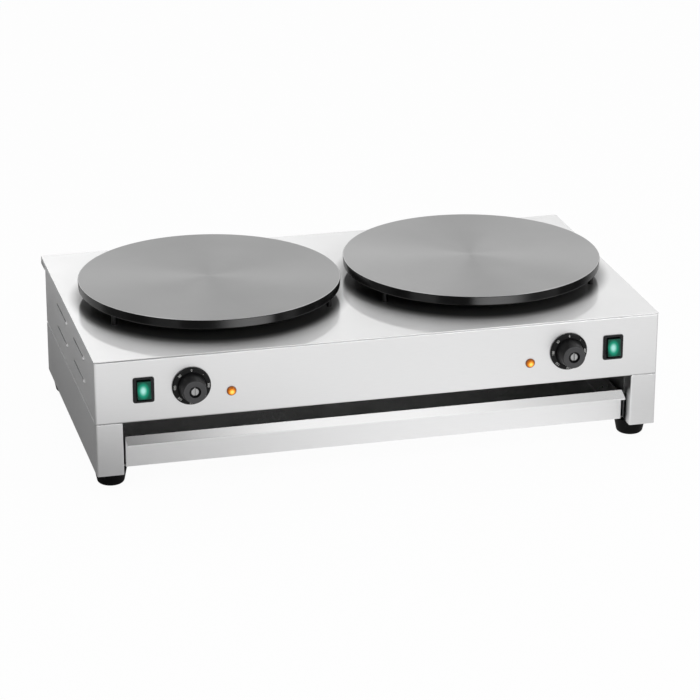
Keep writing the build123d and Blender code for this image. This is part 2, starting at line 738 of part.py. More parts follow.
def thermostat(hand):
    """Capillary thermostat: body, bellows cap, contact tabs and the bush that holds it."""
    x, z = hand * KNOB_X, CONTROL_HEIGHT
    front = FRONT + THERMOSTAT_SETBACK
    width, depth, height = THERMOSTAT_BODY
    body = block(
        (x - width / 2, x + width / 2), (front, front + depth), (z - height / 2, z + height / 2)
    )
    body = fillet(body.edges().filter_by(Axis.Y), BODY_ROUNDING)
    body += rod(12.0, (x, front + depth, z), AWAY, 5.0)
    body += rod(9.0, (x, FRONT + SHEET, z), AWAY, THERMOSTAT_SETBACK - SHEET)
    body += rod(BUSH_RADIUS, (x, FRONT - BUSH_REACH, z), AWAY, BUSH_REACH + THERMOSTAT_SETBACK)
    for tab_x in (-10.0, 10.0):
        body += Pos(x + tab_x, front + depth + 4.0, z - 15.0) * Box(TAB_WIDTH, 10.0, TAB_THICKNESS)
    bore = BUSH_REACH + SHAFT_TAIL + 0.5
    body -= rod(SHAFT_RADIUS + RUNNING_GAP, (x, FRONT - BUSH_REACH, z), AWAY, bore)
    return body


def thermostat_nut(hand):
    """Thin nut that clamps the bush in the front panel."""
    return hexagon_nut(
        14.0, 3.0, BUSH_RADIUS + RUNNING_GAP, (hand * KNOB_X, FRONT, CONTROL_HEIGHT), TOWARDS_OPERATOR
    )


def thermostat_shaft(hand):
    """Turning shaft with a flat for the knob."""
    place = on_panel(hand * KNOB_X, CONTROL_HEIGHT)
    shaft = Pos(0, 0, -SHAFT_TAIL) * Cylinder(
        SHAFT_RADIUS, SHAFT_TAIL + SHAFT_REACH, align=(Align.CENTER, Align.CENTER, Align.MIN)
    )
    shaft -= block((-4, 4), (SHAFT_FLAT, 4), (SHAFT_REACH - 10.0, SHAFT_REACH + 1))
    return place * shaft


def temperature_sensor(hand):
    """Bulb under the plate and the capillary that joins it to the thermostat."""
    drop_x, drop_y = sensor_drop()
    level = ELEMENT_TOP - BULB_RADIUS - 0.1
    centre = (-ELEMENT_PITCH / 2, 0, level)
    bulb_line = CenterArc(centre, ELEMENT_ENDS, SENSOR_START, SENSOR_SWEEP)
    start = Plane(origin=bulb_line @ 0, z_dir=bulb_line % 0)
    bulb = at_plate(hand) * sweep(start * Circle(BULB_RADIUS), path=bulb_line)
    top = (hand * PLATE_X + drop_x, PLATE_Y + drop_y, level)
    behind = FRONT + THERMOSTAT_SETBACK + THERMOSTAT_BODY[1] + 5.0
    run_z = CONTROL_HEIGHT + 25.0
    thermostat_x = hand * KNOB_X
    route = FilletPolyline(
        top,
        (top[0], top[1], run_z),
        (thermostat_x, behind + 40.0, run_z),
        (thermostat_x, behind + 40.0, CONTROL_HEIGHT),
        (thermostat_x, behind, CONTROL_HEIGHT),
        radius=10.0,
    )
    capillary = sweep(Plane(origin=route @ 0, z_dir=route % 0) * Circle(CAPILLARY_RADIUS), path=route)
    return bulb + capillary


def knob(hand):
    """Dial skirt and tapered, fluted grip, hollow behind for the thermostat's nut."""
    hollow_radius, hollow_depth = KNOB_HOLLOW
    groove_z = SKIRT_HEIGHT - 1.0
    recess_z = KNOB_REACH - KNOB_RECESS_DEPTH
    body = turned(
        (hollow_radius, 1.0),
        (SKIRT_RADIUS, 1.0),
        (SKIRT_RADIUS, SKIRT_HEIGHT - 2.2),
        (SKIRT_RADIUS - 1.6, SKIRT_HEIGHT - 0.6),
        (KNOB_BASE_RADIUS + 1.4, SKIRT_HEIGHT),
        (KNOB_BASE_RADIUS + 1.0, groove_z),
        (KNOB_BASE_RADIUS, groove_z),
        (KNOB_FACE_RADIUS, KNOB_REACH - 1.5),
        (KNOB_FACE_RADIUS - 1.5, KNOB_REACH),
        (KNOB_RECESS_RADIUS, KNOB_REACH),
        (KNOB_RECESS_RADIUS, recess_z),
        (COLLET_RADIUS, recess_z),
        (COLLET_RADIUS, hollow_depth),
        (hollow_radius, hollow_depth),
    )
    rise = KNOB_REACH - groove_z
    slope = math.degrees(math.atan2(KNOB_BASE_RADIUS - KNOB_FACE_RADIUS, rise))
    flute = Cylinder(FLUTE_RADIUS, rise - 6.0, align=(Align.CENTER, Align.CENTER, Align.MIN))
    flute = Pos(KNOB_BASE_RADIUS + FLUTE_RADIUS - FLUTE_DEPTH, 0, SKIRT_HEIGHT + 1.0) * (
        Rot(0, -slope, 0) * flute
    )
    body -= [Rot(0, 0, 360.0 * index / GRIP_FLUTES) * flute for index in range(GRIP_FLUTES)]
    return on_panel(hand * KNOB_X, CONTROL_HEIGHT) * body


def knob_collet(hand):
    """Slotted metal collet in the middle of the knob; it grips the shaft."""
    reach = KNOB_REACH - 2.0
    outside = COLLET_RADIUS - RUNNING_GAP
    body = turned(
        (SHAFT_RADIUS + RUNNING_GAP, 11.0),
        (outside, 11.0),
        (outside, reach - 0.6),
        (outside - 0.6, reach),
        (0, reach),
        (0, SHAFT_REACH + 0.5),
        (SHAFT_RADIUS + RUNNING_GAP, SHAFT_REACH + 0.5),
    )
    body -= block((-1.0, 1.0), (-7, 7), (reach - 2.5, reach + 1))
    return on_panel(hand * KNOB_X, CONTROL_HEIGHT) * body


# ---- Switches and pilot lamps -------------------------------------------------------------------

WINDOW = (ROCKER_WIDTH + 0.8, 33.0)
WELL_DEPTH = 21.0
ROCKER_TAIL = 3.0  # back of the rocker behind its pivot
PIN_RADIUS = 1.5
PIN_REACH = 1.6
LAMP_BODY_RADIUS = 5.0
LENS_RADIUS = 6.2
LAMP_FLANGE_RADIUS = 7.3
LAMP_FLANGE = 1.2
LAMP_LENGTH = 24.0


def switch_housing(hand):
    """Bezel, snap-in body with a well for the rocker, pivot holes and four contact tabs."""
    place = on_panel(hand * SWITCH_X, CONTROL_HEIGHT)
    width, height, depth = SWITCH_BODY
    bezel = extrude(RectangleRounded(BEZEL_WIDTH, BEZEL_HEIGHT, BEZEL_CORNER), amount=BEZEL_DEPTH)
    bezel = chamfer(bezel.faces().sort_by(Axis.Z)[-1].edges(), 0.9)
    body = bezel + Pos(0, 0, -depth / 2) * Box(width, height, depth)
    well = Pos(0, 0, BEZEL_DEPTH + 1 - WELL_DEPTH / 2) * Box(*WINDOW, WELL_DEPTH)
    body -= well
    body -= Pos(0, 0, -ROCKER_PIVOT) * Rot(0, 90, 0) * Cylinder(PIN_RADIUS + RUNNING_GAP, width - 2)
    for tab_x in (-6.0, 6.0):
        for tab_z in (-8.0, 8.0):
            body += Pos(tab_x, tab_z, -depth - 4.0) * Box(TAB_WIDTH, TAB_THICKNESS, 8.0)
    return place * body


def rocker(hand):
    """Translucent rocker, hollow behind its front, tilted into the ON position."""
    place = Plane(
        origin=(hand * SWITCH_X - ROCKER_WIDTH / 2, FRONT + ROCKER_PIVOT, CONTROL_HEIGHT),
        x_dir=TOWARDS_OPERATOR,
        z_dir=(1, 0, 0),
    )
    ahead = ROCKER_PIVOT + ROCKER_REACH
    base, face = ROCKER_BASE_HEIGHT / 2, ROCKER_FACE_HEIGHT / 2
    rise = face * math.tan(math.radians(ROCKER_TILT))
    profile = make_face(
        Polyline(
            (-ROCKER_TAIL, -base),
            (-ROCKER_TAIL, base),
            (ahead + rise, face),
            (ahead, 0),
            (ahead + rise, -face),
            close=True,
        )
    )
    body = extrude(profile, amount=ROCKER_WIDTH)
    outline = body.edges().filter_by(lambda edge: edge.center().X > 3.0 and abs(edge.center().Y) > 1.0)
    body = fillet(outline, ROCKER_ROUNDING)
    hollow = Box(2 * ROCKER_TAIL, ROCKER_BASE_HEIGHT - 6.0, ROCKER_WIDTH - 4.0)
    body -= Pos(-1.0, 0, ROCKER_WIDTH / 2) * hollow
    pin = Cylinder(PIN_RADIUS, ROCKER_WIDTH + 2 * PIN_REACH)
    body += Pos(0, 0, ROCKER_WIDTH / 2) * pin
    return place * (Rot(0, 0, -ROCKER_TILT) * body)


def pilot_body(hand):
    """Lamp holder with its seating flange."""
    body = turned(
        (0, -LAMP_LENGTH),
        (LAMP_BODY_RADIUS, -LAMP_LENGTH),
        (LAMP_BODY_RADIUS, 0),
        (LAMP_FLANGE_RADIUS, 0),
        (LAMP_FLANGE_RADIUS, LAMP_FLANGE - 0.4),
        (LAMP_FLANGE_RADIUS - 0.4, LAMP_FLANGE),
        (0, LAMP_FLANGE),
    )
    return on_panel(hand * PILOT_X, PILOT_HEIGHT) * body


def pilot_lens(hand):
    """Domed lens on the lamp holder."""
    lens = Pos(0, 0, LAMP_FLANGE) * Cylinder(
        LENS_RADIUS, 0.8, align=(Align.CENTER, Align.CENTER, Align.MIN)
    )
    lens += Pos(0, 0, LAMP_FLANGE + 0.8) * dome(LENS_RADIUS, 3.2)
    return on_panel(hand * PILOT_X, PILOT_HEIGHT) * lens


# ---- Supply entry and fasteners -----------------------------------------------------------------


def cable_gland():
    """Threaded gland body with its clamping cap, bored for the supply cord."""
    body = rod(GLAND_THREAD, (GLAND_X, BODY_REAR - 12.0, GLAND_Z), AWAY, 12.0)
    body += hexagon_nut(24.0, 6.0, CORD_BORE, (GLAND_X, BODY_REAR, GLAND_Z), AWAY)
    cap = turned(
        (CORD_BORE, 6.0), (11.5, 6.0), (11.5, 14.0), (8.5, 20.0), (CORD_BORE, 20.0)
    )
    body += Plane(origin=(GLAND_X, BODY_REAR, GLAND_Z), z_dir=AWAY) * cap
    return body - rod(CORD_BORE, (GLAND_X, BODY_REAR - 13.0, GLAND_Z), AWAY, 40.0)


def gland_nut():
    """Lock nut of the gland, inside the rear panel."""
    start = (GLAND_X, BODY_REAR - SHEET, GLAND_Z)
    return hexagon_nut(26.0, 5.0, GLAND_THREAD + RUNNING_GAP, start, TOWARDS_OPERATOR)


def terminal_block():
    """Ceramic block with three clamping screws, on the housing floor."""
    low = FLOOR_Z + SHEET
    x, y = GLAND_X - 70.0, BODY_REAR - 60.0
    body = block((x - 27, x + 27), (y - 11, y + 11), (low, low + 16))
    for index in (-1, 0, 1):
        body -= rod(3.2, (x + 17 * index, y, low + 9), UP, 8)
        body += rod(3.0, (x + 17 * index, y, low + 8), UP, 6)
        body -= rod(2.6, (x + 17 * index, y - 12, low + 5), AWAY, 24)
    return body


def foot_screw(x, y):
    """Screw through a foot into the side frame's flange."""
    seat = FOOT_RECESS_DEPTH
    return Pos(x, y, 0) * turned(
        (0, seat - 4.5),
        (5.6, seat - 4.5),
        (6.2, seat - 3.5),
        (6.2, seat),
        (FOOT_SCREW_RADIUS, seat),
        (FOOT_SCREW_RADIUS, BASE_Z + 9.0),
        (0, BASE_Z + 9.0),
    )


def frame_bolt(x, y):
    """Bolt that joins side frame, housing flange and floor, with its nut above."""
    low, high = HOUSING_Z - SHEET, FLOOR_Z + SHEET
    head = hexagon_nut(8.0, 3.5, FRAME_BOLT_RADIUS / 2, (x, y, low), DOWN)
    bolt = head + rod(FRAME_BOLT_RADIUS, (x, y, low - 3.5), UP, high - low + 10.0)
    return bolt + hexagon_nut(8.0, 4.0, FRAME_BOLT_RADIUS / 2, (x, y, high), UP)


def rear_screw(x, z):
    """Pan-head screw through the rear panel into a side panel."""
    screw = turned(
        (0, -9.0), (REAR_SCREW_RADIUS, -9.0), (REAR_SCREW_RADIUS, 0), (3.9, 0), (3.4, 2.0), (0, 2.4)
    )
    return Plane(origin=(x, BODY_REAR, z), z_dir=AWAY) * screw


def group(solids):
    """Separate like solids as one piece of the list."""
    return Compound(children=[solid for shape in solids for solid in shape.solids()])


# ---- Assembly -----------------------------------------------------------------------------------

pieces["top_cover"] = top_cover()
pieces["front_panel"] = front_panel()
add_pair("side_panel", side_panel())
pieces["rear_panel"] = rear_panel()
pieces["housing_floor"] = housing_floor()
add_pair("base_frame", base_frame())
add_pair("drawer_guide", drawer_guide())
pieces["rear_base_panel"] = rear_base_panel()

pieces["drawer_tray"] = drawer_tray()
pieces["drawer_front"] = drawer_front()
pieces["drawer_glides"] = group([drawer_glide(), mirrored(drawer_glide())])
pieces["drawer_stops"] = group([drawer_stop(), mirrored(drawer_stop())])

for place_name, foot_x, foot_y in foot_places():
    pieces[place_name + "_foot"] = Pos(foot_x, foot_y, 0) * foot()
pieces["foot_screws"] = group([foot_screw(x, y) for _, x, y in foot_places()])
foot_nut_bore = FOOT_SCREW_RADIUS + RUNNING_GAP
pieces["foot_nuts"] = group(
    [hexagon_nut(10.0, 5.0, foot_nut_bore, (x, y, BASE_Z + SHEET), UP) for _, x, y in foot_places()]
)

for side_name, side_hand in SIDES:
    for name, maker in (
        ("griddle_plate", griddle_plate),
        ("heating_element", heating_element),
        ("element_clamp", element_clamp),
        ("insulation", insulation),
        ("heat_pan", heat_pan),
        ("thermostat", thermostat),
        ("thermostat_shaft", thermostat_shaft),
        ("temperature_sensor", temperature_sensor),
        ("knob", knob),
        ("knob_collet", knob_collet),
        ("switch_housing", switch_housing),
        ("rocker", rocker),
        ("pilot_body", pilot_body),
        ("pilot_lens", pilot_lens),
    ):
        pieces[side_name + "_" + name] = maker(side_hand)

studs = [place for _, hand in SIDES for place in stud_places(hand)]
pieces["plate_studs"] = group([plate_stud(x, y) for x, y in studs])
pieces["stud_nuts"] = group(
    [hexagon_nut(10.0, 5.0, STUD_FOOT_RADIUS + RUNNING_GAP, (x, y, COVER_UNDER), DOWN) for x, y in studs]
)
pieces["clamp_bolts"] = group([clamp_bolt(hand) for _, hand in SIDES])
pieces["thermostat_nuts"] = group([thermostat_nut(hand) for _, hand in SIDES])
pieces["terminal_block"] = terminal_block()
pieces["cable_gland"] = cable_gland()
pieces["gland_nut"] = gland_nut()
pieces["frame_bolts"] = group(
    [frame_bolt(hand * FRAME_BOLT_X, y) for _, hand in SIDES for y in FRAME_BOLT_Y]
)
pieces["rear_screws"] = group(
    [rear_screw(hand * x, z) for _, hand in SIDES for x, z in REAR_SCREWS]
)

os.makedirs("parts", exist_ok=True)
for piece_name, shape in pieces.items():
    export_step(shape, f"parts/{piece_name}.step")
print(len(pieces), "pieces")
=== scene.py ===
"""Double electric crepe maker: finishes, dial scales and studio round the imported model.

Metres. +X is the operator's right, -Y faces the operator, +Z is up.
"""

import json
import math

import bpy
from mathutils import Matrix, Quaternion, Vector


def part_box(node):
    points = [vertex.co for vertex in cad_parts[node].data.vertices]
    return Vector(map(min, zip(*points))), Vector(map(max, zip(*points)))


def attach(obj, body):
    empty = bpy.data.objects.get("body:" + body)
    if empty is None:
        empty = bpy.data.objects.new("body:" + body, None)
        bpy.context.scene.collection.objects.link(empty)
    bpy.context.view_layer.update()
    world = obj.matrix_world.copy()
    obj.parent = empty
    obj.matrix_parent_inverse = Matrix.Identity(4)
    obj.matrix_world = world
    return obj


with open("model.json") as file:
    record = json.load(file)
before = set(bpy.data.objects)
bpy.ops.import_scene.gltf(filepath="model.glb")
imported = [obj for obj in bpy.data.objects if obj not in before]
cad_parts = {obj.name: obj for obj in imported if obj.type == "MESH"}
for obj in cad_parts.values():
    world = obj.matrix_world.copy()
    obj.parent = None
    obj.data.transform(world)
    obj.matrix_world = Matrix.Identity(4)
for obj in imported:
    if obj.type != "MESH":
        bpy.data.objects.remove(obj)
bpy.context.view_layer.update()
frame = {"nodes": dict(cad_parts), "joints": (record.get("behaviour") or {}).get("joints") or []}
nodes = frame["nodes"]

MM = 0.001
SIDES = ("left", "right")
PLATE_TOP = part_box("left_griddle_plate")[1][2]
KNOB_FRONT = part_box("left_knob")[0][1]
COVER_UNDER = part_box("left_side_panel")[1][2]
COVER_THICKNESS = 1.5 * MM
COVER_TOP = COVER_UNDER + COVER_THICKNESS


def both(name):
    """The left and the right node of a kind."""
    return [f"{side}_{name}" for side in SIDES]


def grey(level):
    return (level, level, level)


# ---- Nodes --------------------------------------------------------------------------------------


class NodeTree:
    """Short calls for the nodes of a material or of the world."""

    def __init__(self, tree):
        self.tree = tree

    def set(self, node, inputs):
        """Gives a node's inputs their values or links."""
        for key, value in inputs.items():
            if isinstance(value, bpy.types.NodeSocket):
                self.tree.links.new(value, node.inputs[key])
            else:
                node.inputs[key].default_value = value

    def node(self, kind, inputs, output=0, **settings):
        """Adds a node and gives one of its outputs."""
        made = self.tree.nodes.new("ShaderNode" + kind)
        for key, value in settings.items():
            setattr(made, key, value)
        self.set(made, inputs)
        return None if output is None else made.outputs[output]

    def place(self, kind="Object"):
        """The point on the surface: Object in metres in the frame, Generated from 0 to 1 in the
        box. Kind Normal gives the surface's normal instead."""
        return self.node("TexCoord", {}, kind)

    def axis(self, vector, name):
        """One coordinate of a vector."""
        return self.node("SeparateXYZ", {0: vector}, name)

    def math(self, operation, *values):
        return self.node("Math", dict(enumerate(values)), operation=operation)

    def product(self, first, *others):
        for other in others:
            first = self.math("MULTIPLY", first, other)
        return first

    def largest(self, first, *others):
        for other in others:
            first = self.math("MAXIMUM", first, other)
        return first

    def vector(self, operation, *values, output=0):
        return self.node("VectorMath", dict(enumerate(values)), output, operation=operation)

    def stretched(self, per_metre):
        """The surface point scaled by a number of cycles per metre along each axis."""
        return self.vector("MULTIPLY", self.place(), per_metre)

    def noise(self, vector, scale=1.0, detail=2.0):
        return self.node("TexNoise", {"Vector": vector, "Scale": scale, "Detail": detail})

    def between(self, value, low, high, out_low=0.0, out_high=1.0, smooth=True):
        """Maps a range onto another one, and holds it at the ends."""
        ends = {"From Min": low, "From Max": high, "To Min": out_low, "To Max": out_high}
        kind = "SMOOTHSTEP" if smooth else "LINEAR"
        return self.node("MapRange", {"Value": value, **ends}, interpolation_type=kind)

    def spread(self, noise, out_low=0.0, out_high=1.0):
        """Maps the range that most of a noise falls in onto another one."""
        return self.between(noise, 0.3, 0.7, out_low, out_high)

    def mix(self, factor, first, second):
        """Blends two colours."""
        first, second = ((*c, 1) if isinstance(c, tuple) else c for c in (first, second))
        return self.node("Mix", {0: factor, 6: first, 7: second}, 2, data_type="RGBA")

    def blend(self, factor, first, second):
        """Blends two numbers."""
        return self.node("Mix", {0: factor, 2: first, 3: second}, data_type="FLOAT")

    def distance(self, centre, scale, kind="Object"):
        """How far the surface point lies from a centre, each axis scaled."""
        offset = self.vector("SUBTRACT", self.place(kind), centre)
        return self.vector("LENGTH", self.vector("MULTIPLY", offset, scale), output="Value")


class Finish(NodeTree):
    """A Principled material that its finish's nodes are added to."""

    def __init__(self, name, color, roughness, metallic=0.0, **sockets):
        self.material = bpy.data.materials.new(name)
        self.material.use_nodes = True
        super().__init__(self.material.node_tree)
        self.shader = self.tree.nodes["Principled BSDF"]
        self.color = color
        self.give(Base_Color=(*color, 1), Roughness=roughness, Metallic=metallic, **sockets)

    def give(self, **sockets):
        """Gives the shader's sockets their values or links."""
        self.set(self.shader, {name.replace("_", " "): value for name, value in sockets.items()})

    def tint(self, noise, share):
        """Makes the base colour lighter and darker by a noise."""
        dark = tuple(channel * (1 - share) for channel in self.color)
        light = tuple(min(1, channel * (1 + share)) for channel in self.color)
        self.give(Base_Color=self.mix(self.spread(noise), dark, light))

    def rough(self, noise, low, high):
        self.give(Roughness=self.spread(noise, low, high))

    def bump(self, height, depth, strength, **normal):
        """Relief of a depth in metres."""
        relief = {"Height": height, "Distance": depth, "Strength": strength, **normal}
        self.give(Normal=self.node("Bump", relief))

    def normal(self):
        """The surface's normal in the frame."""
        return self.node("NewGeometry", {}, "Normal")


# ---- Finishes -----------------------------------------------------------------------------------

FINE = 4500.0  # cycles per metre across a brushed grain
ALONG = 60.0  # cycles per metre along it


def grain(finish, across):
    """Noise drawn out into grain lines that are stacked along one axis."""
    cycles = [FINE if axis == across else ALONG for axis in "XYZ"]
    return finish.noise(finish.stretched(cycles), detail=3.0)


def stainless(name, across, level, low, high):
    """Satin stainless sheet: its grain, its level of grey and its lowest and highest roughness."""
    finish = Finish(name, (level, level, level * 1.002), low, 1.0)
    lines = grain(finish, across)
    cloud = finish.noise(finish.place(), scale=9.0)
    finish.tint(lines, 0.02)
    uneven = finish.math("ADD", finish.product(lines, 0.8), finish.product(cloud, 0.2))
    finish.rough(uneven, low, high)
    finish.bump(lines, 0.004 * MM, 0.3)
    return finish.material


def plate_circle(side):
    """Centre and radius of a griddle plate."""
    low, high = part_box(side + "_griddle_plate")
    return ((low[0] + high[0]) / 2, (low[1] + high[1]) / 2, 0), (high[0] - low[0]) / 2


FLAT = (1, 1, 0)  # scale for a distance from an upright axis
LIP_SLOPE = (0.2, 0.4)  # upward share of the normal: the upright face has less, the lip has more
LIP_LEAN = (0, -7.0, 0)  # added to the lip's normal, so that its shading looks to the front


def drawer_sheet():
    """Satin face of the drawer. Its pull lip is smoother, with painted light and shade: palest in
    the middle, darker towards its ends.
    """
    finish = Finish("drawer_sheet", (0.86, 0.86, 0.862), 0.5, 1.0)
    lines = grain(finish, "Z")
    lip = finish.between(finish.axis(finish.place("Normal"), "Z"), *LIP_SLOPE)
    across = finish.axis(finish.place(), "X")
    # painted light across the lip: dark at the left end, palest in the middle, darker again at the
    # right end
    pale = finish.mix(finish.between(across, -0.42, -0.10), grey(0.25), grey(0.93))
    pale = finish.mix(finish.between(across, 0.05, 0.37), pale, grey(0.6))
    sheet = finish.mix(finish.spread(lines), (0.84, 0.84, 0.842), (0.88, 0.88, 0.882))
    leaning = finish.vector("MULTIPLY_ADD", lip, LIP_LEAN, finish.normal())
    finish.give(
        Base_Color=finish.mix(lip, sheet, pale),
        Roughness=finish.blend(lip, finish.spread(lines, 0.4, 0.6), 0.22),
        Normal=finish.vector("NORMALIZE", leaning),
    )
    return finish.material


def cover_sheet():
    """Polished top with a haze brushed across it, painted shade under and round the plates, and
    its cut edge, darker than the sheet and darker still to the left by painted shade."""
    finish = Finish(
        "cover_sheet",
        (0.86, 0.86, 0.862),
        0.45,
        1.0,
        Anisotropic=0.9,
        Coat_Weight=1.0,
        Coat_Roughness=0.06,
        Coat_IOR=2.2,
    )
    height = finish.axis(finish.place(), "Z")
    top, under = COVER_TOP - 0.5 * MM, COVER_UNDER - 0.1 * MM
    below_top = finish.between(height, top, top + 0.15 * MM, 1.0, 0.0, smooth=False)
    above_under = finish.between(height, under, under + 0.1 * MM, smooth=False)
    edge = finish.product(below_top, above_under)
    cloud = finish.noise(finish.place(), scale=6.0)
    lines = grain(finish, "Y")
    sheet = finish.mix(finish.spread(cloud), grey(0.92), grey(0.96))
    # painted shade: the sheet is painted almost black under each plate, lightening to its own grey
    # 20 mm beyond the rim
    for side in SIDES:
        centre, radius = plate_circle(side)
        from_axis = finish.distance(centre, FLAT)
        clear_of_plate_shade = finish.between(from_axis, radius - 6 * MM, radius + 20 * MM, 0.12, 1.0)
        sheet = finish.mix(clear_of_plate_shade, grey(0.0), sheet)
    # the cut edge is darker than the sheet, and painted shade darkens it further towards the left
    across = finish.axis(finish.place(), "X")
    cut_edge_and_shade = finish.mix(finish.between(across, -0.35, -0.05), grey(0.33), grey(0.7))
    finish.give(
        Base_Color=finish.mix(edge, sheet, cut_edge_and_shade),
        Tangent=finish.node("Tangent", {}, direction_type="RADIAL", axis="X"),
    )
    finish.rough(lines, 0.35, 0.41)
    return finish.material


def crowned(finish, lean):
    """Normal of a plate, turned up as on a crowned rim. At the front of the rim it turns less
    from side to side, which widens the gleam of the lamp there, and it leans aside a little."""
    straight = finish.normal()
    aside = finish.math("ABSOLUTE", finish.axis(straight, "X"))
    flat_front = finish.between(aside, 0.2, 0.5, 0.5, 1.0)
    share = finish.node("CombineXYZ", {0: flat_front, 1: 1.0, 2: 1.0})
    turned = finish.vector("MULTIPLY_ADD", straight, share, (lean, 0, 0.4))
    return finish.vector("NORMALIZE", turned)


def cast_plate(side, painted_light_share, lean):
    """Griddle: a turned face, a bare bevel round it that is painted lighter than the face, partly
    as a painted highlight, and an enamelled rim.
    """
    centre, radius = plate_circle(side)
    finish = Finish(
        side + "_turned_iron",
        grey(0.36),
        0.4,
        1.0,
        Anisotropic=0.75,
        Anisotropic_Rotation=0.25,
        Specular_IOR_Level=0.46,
    )
    from_axis = finish.distance(centre, FLAT)
    height = finish.axis(finish.place(), "Z")
    face = finish.between(height, PLATE_TOP - 0.5 * MM, PLATE_TOP - 0.45 * MM)
    bevel = finish.between(from_axis, radius - 1.2 * MM, radius - 1.0 * MM)
    rings = finish.noise(finish.node("CombineXYZ", {0: from_axis}), scale=900.0, detail=3.0)
    cloud = finish.noise(finish.place(), scale=14.0, detail=4.0)
    cast = finish.noise(finish.place(), scale=700.0)
    # the share scales the plate's greys; on the left plate it is painted shade
    dark, pale, worn = (grey(painted_light_share * level) for level in (0.37, 0.43, 0.46))
    turned = finish.mix(finish.spread(rings), dark, pale)
    turned = finish.mix(finish.between(cloud, 0.35, 0.75, 0, 0.25), turned, worn)
    # the bevel's light grey is bare metal and partly a painted highlight line round the face
    turned = finish.mix(bevel, turned, grey(0.7))
    finish.give(
        Base_Color=finish.mix(face, grey(0.002), turned),
        Metallic=face,
        Roughness=finish.blend(face, 0.2, finish.spread(rings, 0.34, 0.42)),
        Tangent=finish.node("Tangent", {}, direction_type="RADIAL", axis="Z"),
    )
    finish.bump(finish.blend(face, cast, rings), 0.01 * MM, 0.5, Normal=crowned(finish, lean))
    return finish.material


def skin(finish, scale, depth, low, high):
    """The fine grain that a mould leaves, and the roughness between its limits."""
    grains = finish.noise(finish.place(), scale=scale, detail=3.0)
    finish.rough(grains, low, high)
    finish.bump(grains, depth * MM, 0.5)


def moulded(name, color, roughness, specular=0.5, skin_scale=1500.0, depth=0.02):
    """Moulded plastic or rubber with a fine grain."""
    finish = Finish(name, color, roughness, Specular_IOR_Level=specular)
    finish.tint(finish.noise(finish.place(), scale=60.0), 0.15)
    skin(finish, skin_scale, depth, roughness - 0.06, roughness + 0.08)
    return finish.material


def knob_plastic():
    """Black plastic, with painted light on the knobs' end face, which is painted paler."""
    black, pale = (0.006, 0.006, 0.0065), (0.075, 0.075, 0.077)
    finish = Finish("knob_plastic", black, 0.4, Specular_IOR_Level=0.18)
    depth = finish.axis(finish.place(), "Y")
    # painted light: the end face that looks forward is painted paler than the rest of the knob
    end = finish.between(depth, KNOB_FRONT + 0.8 * MM, KNOB_FRONT + 1.4 * MM, 1.0, 0.0)
    finish.give(Base_Color=finish.mix(end, black, pale))
    skin(finish, 1500.0, 0.02, 0.32, 0.48)
    return finish.material


def plated(name, color, roughness):
    """Plated or bare metal of a small part."""
    finish = Finish(name, color, roughness, 1.0)
    spots = finish.noise(finish.place(), scale=400.0, detail=4.0)
    finish.tint(spots, 0.1)
    finish.rough(spots, roughness - 0.08, roughness + 0.1)
    return finish.material


def heat_darkened(name, color, tempered):
    """Metal near the heating element: dark, with tempered patches."""
    finish = Finish(name, color, 0.55, 0.4, Specular_IOR_Level=0.1)
    patches = finish.between(finish.noise(finish.place(), scale=25.0, detail=5.0), 0.45, 0.75)
    finish.give(Base_Color=finish.mix(patches, color, tempered))
    finish.rough(finish.noise(finish.place(), scale=500.0), 0.45, 0.65)
    return finish.material


def felt():
    """Ceramic-fibre felt."""
    finish = Finish("fibre_felt", (0.82, 0.8, 0.75), 0.95)
    fibres = finish.noise(finish.stretched((900, 250, 900)), detail=6.0)
    finish.tint(fibres, 0.12)
    finish.bump(fibres, 0.3 * MM, 0.8)
    return finish.material


def lit_rocker():
    """Green lens with the glow of the lamp behind its middle; its side walls are opaque."""
    finish = Finish("lit_green_lens", (0.0, 0.1, 0.06), 0.22, Specular_IOR_Level=0.2)
    away = finish.distance((0.44, 0.5, 0.54), (2.3, 0, 2.1), "Generated")
    core = finish.between(away, 0.12, 0.6, 1.0, 0.0)
    halo = finish.between(away, 0.45, 1.0, 1.0, 0.0)
    glow = finish.mix(halo, (0.0, 0.03, 0.018), (0.005, 0.28, 0.17))
    glow = finish.mix(core, glow, (0.4, 0.76, 0.7))
    facing = finish.between(finish.axis(finish.normal(), "Y"), -0.75, -0.55, 1.0, 0.0)
    finish.give(
        Base_Color=finish.mix(facing, (0.003, 0.012, 0.009), (0.0, 0.05, 0.03)),
        Emission_Color=glow,
        Emission_Strength=facing,
    )
    return finish.material


def lit_pilot():
    """Amber lens, brightest a little below the middle."""
    finish = Finish("lit_amber_lens", (0.3, 0.08, 0.005), 0.18, Specular_IOR_Level=0.3)
    away = finish.distance((0.5, 0.5, 0.45), (2, 0, 2), "Generated")
    glow = finish.mix(finish.between(away, 0.2, 0.65), (1.0, 0.8, 0.15), (0.85, 0.28, 0.004))
    glow = finish.mix(finish.between(away, 0.5, 0.95), glow, (0.22, 0.05, 0.002))
    finish.give(Emission_Color=glow, Emission_Strength=1.0)
    return finish.material


def printed_white():
    """Thin white print on a dial."""
    finish = Finish("dial_print", (0.78, 0.78, 0.76), 0.5)
    finish.tint(finish.noise(finish.place(), scale=1200.0), 0.08)
    return finish.material


